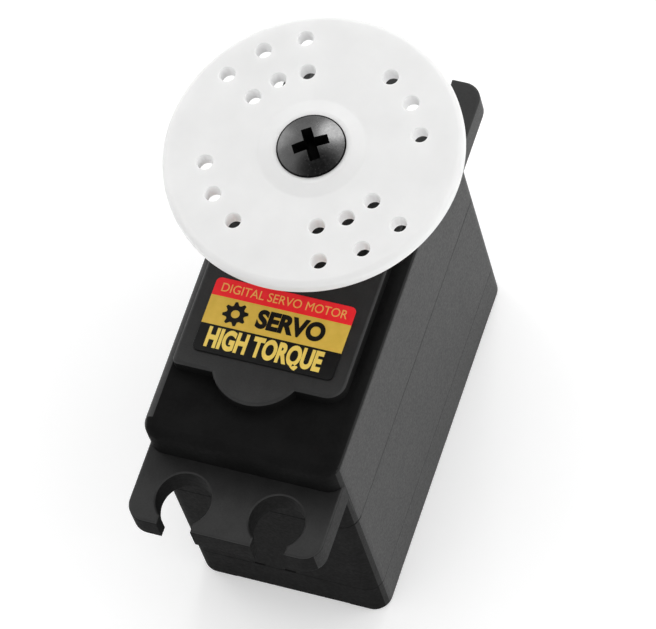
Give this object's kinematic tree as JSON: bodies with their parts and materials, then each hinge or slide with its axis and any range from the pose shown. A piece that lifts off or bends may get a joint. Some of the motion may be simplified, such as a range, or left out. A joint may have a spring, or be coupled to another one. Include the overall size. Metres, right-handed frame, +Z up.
{
  "type": "servo motor",
  "caption": "Small geared servo motor in a black case with slotted mounting ears and a round white disc horn on its turning output shaft.",
  "frame": {"origin": "centre of the case's underside, in the plane of its four corner feet", "axes": "+X along the case towards the output end, +Y across the case, +Z up along the output shaft"},
  "size_m": [0.0442, 0.0244, 0.0366],
  "materials": {
    "case_plastic": "black moulded, finely grained",
    "horn_nylon": "natural white nylon",
    "black_screw": "blackened, glossy",
    "case_screw": "zinc plated",
    "label_film": "printed self-adhesive film",
    "brass": "machined",
    "steel": "ground",
    "can_steel": "plated",
    "ferrite": "sintered ferrite",
    "copper": "enamelled copper",
    "carbon": "carbon track",
    "laminate": "solder mask",
    "chip_black": "moulded epoxy",
    "sensor_blue": "moulded",
    "white_plastic": "moulded"
  },
  "bodies": {
    "housing": {"top_case": "case_plastic", "middle_case": "case_plastic", "bottom_cover": "case_plastic", "case_screw_1": "case_screw", "case_screw_2": "case_screw", "case_screw_3": "case_screw", "case_screw_4": "case_screw", "name_label": "label_film", "upper_bearing_outer_race": "steel", "lower_bearing_outer_race": "steel", "centre_pin": "steel", "end_pin": "steel", "lower_spacer": "brass", "upper_spacer": "brass", "motor_can": "can_steel", "motor_end_cap": "white_plastic", "motor_magnet_1": "ferrite", "motor_magnet_2": "ferrite", "motor_brush_1": "brass", "motor_brush_2": "brass", "motor_screw_1": "case_screw", "motor_screw_2": "case_screw", "sensor_body": "sensor_blue", "sensor_base": "carbon", "sensor_leg_1": "case_screw", "sensor_leg_2": "case_screw", "sensor_leg_3": "case_screw", "control_board": "laminate", "controller_chip": "chip_black", "driver_chip": "chip_black", "board_capacitor": "can_steel", "cable_pad_1": "copper", "cable_pad_2": "copper", "cable_pad_3": "copper"},
    "output": {"output_shaft": "steel", "output_wheel": "brass", "horn_disc": "horn_nylon", "horn_screw": "black_screw", "upper_bearing_inner_race": "steel", "lower_bearing_inner_race": "steel", "sensor_spindle": "white_plastic"},
    "upper_balls": {"upper_bearing_ball_cage": "steel"},
    "lower_balls": {"lower_bearing_ball_cage": "steel"},
    "third_gear": {"third_wheel": "brass", "third_pinion": "steel"},
    "second_gear": {"second_wheel": "brass", "second_pinion": "steel"},
    "first_gear": {"first_wheel": "brass", "first_pinion": "steel"},
    "motor_rotor": {"motor_shaft": "steel", "motor_pinion": "brass", "armature_core": "steel", "armature_coil_1": "copper", "armature_coil_2": "copper", "armature_coil_3": "copper", "commutator": "copper"}
  },
  "joints": [
    {"name": "output_turn", "type": "hinge", "parent": "housing", "child": "output", "pos_m": [0.00762, 0, 0.02], "axis": [0, 0, 1], "range_deg": [-90, 90]},
    {"name": "upper_balls_turn", "type": "hinge", "parent": "housing", "child": "upper_balls", "pos_m": [0.00762, 0, 0.02], "axis": [0, 0, 1], "range_deg": [-39.4, 39.4]},
    {"name": "lower_balls_turn", "type": "hinge", "parent": "housing", "child": "lower_balls", "pos_m": [0.00762, 0, 0.02], "axis": [0, 0, 1], "range_deg": [-37.1, 37.1]},
    {"name": "third_gear_turn", "type": "hinge", "parent": "housing", "child": "third_gear", "pos_m": [-0.00057, 0, 0.02], "axis": [0, 0, 1], "range_deg": [-288.8, 288.8]},
    {"name": "second_gear_turn", "type": "hinge", "parent": "housing", "child": "second_gear", "pos_m": [-0.00807, 0, 0.02], "axis": [0, 0, 1], "range_deg": [-1096, 1096]},
    {"name": "first_gear_turn", "type": "hinge", "parent": "housing", "child": "first_gear", "pos_m": [-0.00057, 0, 0.02], "axis": [0, 0, 1], "range_deg": [-4083.7, 4083.7]},
    {"name": "motor_turn", "type": "hinge", "parent": "housing", "child": "motor_rotor", "pos_m": [-0.00807, 0, 0.02], "axis": [0, 0, 1], "range_deg": [-20416.5, 20416.5]}
  ],
  "couplings": [
    {"joint": "upper_balls_turn", "follows": "output_turn", "ratio": 0.43125},
    {"joint": "lower_balls_turn", "follows": "output_turn", "ratio": 0.40667},
    {"joint": "third_gear_turn", "follows": "output_turn", "ratio": -3.2},
    {"joint": "second_gear_turn", "follows": "output_turn", "ratio": 12.16},
    {"joint": "first_gear_turn", "follows": "output_turn", "ratio": -45.324},
    {"joint": "motor_turn", "follows": "output_turn", "ratio": 226.62}
  ]
}
